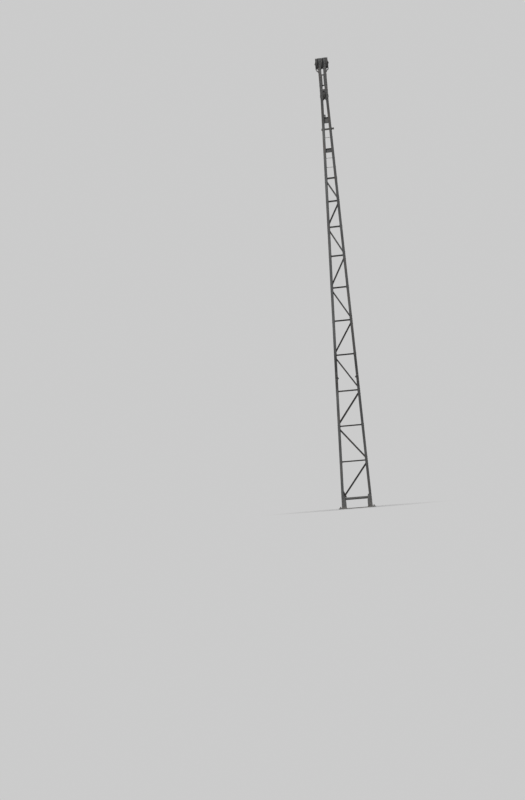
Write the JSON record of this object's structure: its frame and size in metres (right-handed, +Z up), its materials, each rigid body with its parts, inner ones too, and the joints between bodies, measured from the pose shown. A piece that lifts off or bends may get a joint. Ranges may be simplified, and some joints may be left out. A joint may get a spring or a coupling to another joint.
{
  "type": "railway catenary erection mast with head sheaves",
  "caption": "Tall tapering laced channel mast with foot shoes on a bolted sole plate and free-turning grooved hoist sheaves at the head.",
  "frame": {"origin": "centre of the sole plate's underside", "axes": "+Z up the mast, +X to the right seen from the front, +Y to the rear"},
  "size_m": [1.426, 0.42, 17.36],
  "materials": {
    "mast_paint": "weathered dark grey oil paint, satin to matt",
    "foot_paint": "weathered dark grey oil paint, scuffed and dusty",
    "sheave_iron": "dark oiled cast iron, groove polished by rope",
    "pins": "greased steel",
    "fixings": "dull steel",
    "rung_steel": "dull round bar, bare where it is stepped on"
  },
  "bodies": {
    "mast": {"axle_nuts": "fixings", "axle_spacers": "pins", "axle_washers": "fixings", "foot_shoe_left": "foot_paint", "foot_shoe_right": "foot_paint", "foot_tie_tube": "mast_paint", "front_diagonals": "mast_paint", "front_gussets": "mast_paint", "front_struts": "mast_paint", "head_axle": "pins", "head_cheeks_front": "mast_paint", "head_cheeks_rear": "mast_paint", "head_spacers": "mast_paint", "head_tie_beam": "mast_paint", "leg_lower_left": "mast_paint", "leg_lower_right": "mast_paint", "leg_upper_left": "mast_paint", "leg_upper_right": "mast_paint", "lower_sheave_pin": "pins", "rear_diagonals": "mast_paint", "rear_gussets": "mast_paint", "rear_struts": "mast_paint", "rope_guard_left": "mast_paint", "rope_guard_right": "mast_paint", "rope_guide_rod": "pins", "rope_lug": "mast_paint", "sole_plate": "foot_paint", "splice_plates_left": "mast_paint", "splice_plates_right": "mast_paint", "upper_crossbeam": "mast_paint", "upper_rungs": "rung_steel"},
    "sheave_left_body": {"sheave_left": "sheave_iron"},
    "sheave_middle_body": {"sheave_middle": "sheave_iron"},
    "sheave_right_body": {"sheave_right": "sheave_iron"},
    "lower_sheave_body": {"lower_sheave": "sheave_iron"}
  },
  "joints": [
    {"name": "sheave_left_spin", "type": "hinge", "parent": "mast", "child": "sheave_left_body", "pos_m": [-0.1925, 0, 17.15], "axis": [1, 0, 0], "continuous": true},
    {"name": "sheave_middle_spin", "type": "hinge", "parent": "mast", "child": "sheave_middle_body", "pos_m": [0, 0, 17.15], "axis": [1, 0, 0], "continuous": true},
    {"name": "sheave_right_spin", "type": "hinge", "parent": "mast", "child": "sheave_right_body", "pos_m": [0.1925, 0, 17.15], "axis": [1, 0, 0], "continuous": true},
    {"name": "lower_sheave_spin", "type": "hinge", "parent": "mast", "child": "lower_sheave_body", "pos_m": [0, 0, 15.915], "axis": [1, 0, 0], "continuous": true}
  ]
}
